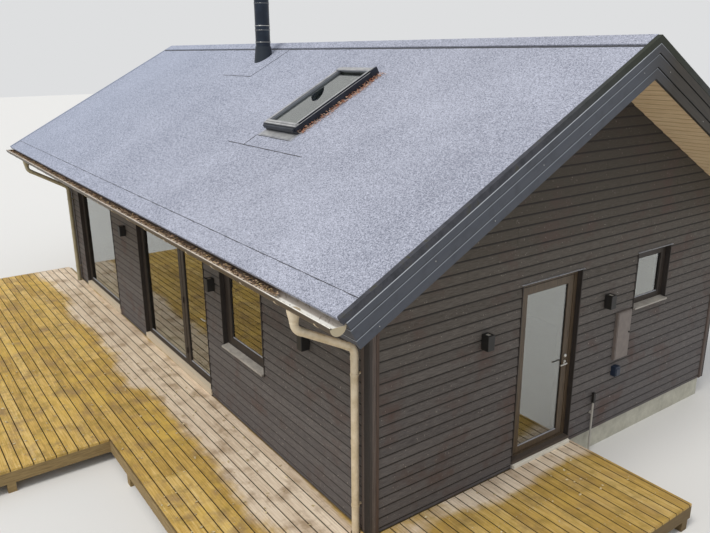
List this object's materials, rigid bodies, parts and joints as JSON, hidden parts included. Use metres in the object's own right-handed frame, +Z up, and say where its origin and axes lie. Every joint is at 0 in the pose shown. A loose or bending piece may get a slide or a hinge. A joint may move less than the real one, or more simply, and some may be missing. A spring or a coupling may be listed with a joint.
{
  "type": "timber holiday home",
  "caption": "Single-storey timber holiday home with lapped boards, a felt saddle roof with deep overhangs, glazed terrace doors and a wrap-around deck.",
  "frame": {"origin": "middle of the house in plan, on the underside of its floor slab and foundation", "axes": "+X along the ridge towards the door gable, -Y out of the terrace front, +Z up"},
  "size_m": [13.405, 10.849, 6.1905],
  "materials": {
    "foundation_block": "rendered block, weathered",
    "floor_concrete": "floated concrete",
    "lapped_board": "dark stained lapped boards, matt and worn",
    "corner_board": "dark stained planed board",
    "sill_board": "weathered grey board",
    "joinery": "brown stained joinery timber",
    "glass": "clear sealed unit",
    "handle_steel": "brushed",
    "roofing_felt": "mineral granules on bitumen felt",
    "structural_timber": "sawn timber and insulation",
    "verge_capping": "felt capping with moss",
    "bargeboard": "dark stained boards",
    "soffit_board": "clear stained planed boards",
    "gutter_metal": "coated sheet, dirty",
    "flue_steel": "coated steel with bright bands",
    "roof_window_metal": "coated sheet, weathered",
    "flashing_metal": "mill sheet, dull",
    "lamp_housing": "black coated",
    "cupboard_shell": "moulded, dull",
    "outlet_shell": "moulded, dull",
    "riser_pipe": "conduit with a black head",
    "deck_board": "weathered decking with algae",
    "deck_timber": "sawn treated timber"
  },
  "bodies": {
    "house": {"plinth": "foundation_block", "floor_slab": "floor_concrete", "sills": "sill_board", "front_wall_piers": "lapped_board", "front_wall_near": "lapped_board", "front_wall_header": "lapped_board", "back_wall": "lapped_board", "gable_wall_left": "lapped_board", "gable_wall_right": "lapped_board", "gable_wall_top": "lapped_board", "far_gable_wall": "lapped_board", "corner_boards": "corner_board", "reveal_linings": "corner_board", "window_frames": "joinery", "window_glass": "glass", "terrace_frame": "joinery", "gable_door_frame": "joinery", "felt_front": "roofing_felt", "felt_back": "roofing_felt", "rafters_front": "structural_timber", "rafters_back": "structural_timber", "ridge_cap": "roofing_felt", "verge_caps": "verge_capping", "bargeboards": "bargeboard", "soffits": "soffit_board", "fascias": "bargeboard", "gutter_front": "gutter_metal", "gutter_back": "gutter_metal", "downpipes": "gutter_metal", "flue": "flue_steel", "roof_window_frame": "roof_window_metal", "roof_window_glass": "glass", "roof_flashings": "flashing_metal", "wall_lamps": "lamp_housing", "meter_cupboard": "cupboard_shell", "outlet_box": "outlet_shell", "cable_riser": "riser_pipe", "deck_boards": "deck_board", "deck_frame": "deck_timber"},
    "gable_door": {"gable_door_leaf": "joinery", "gable_door_glass": "glass", "gable_door_handle": "handle_steel"},
    "terrace_door": {"terrace_door_leaf": "joinery", "terrace_door_glass": "glass", "terrace_door_handle": "handle_steel"}
  },
  "joints": [
    {"name": "gable_door_hinge", "type": "hinge", "parent": "house", "child": "gable_door", "pos_m": [5.07, -0.946, 1.4], "axis": [0, 0, -1], "range_deg": [0, 90]},
    {"name": "terrace_door_hinge", "type": "hinge", "parent": "house", "child": "terrace_door", "pos_m": [0.524, -2.965, 1.4], "axis": [0, 0, -1], "range_deg": [0, 90]}
  ]
}
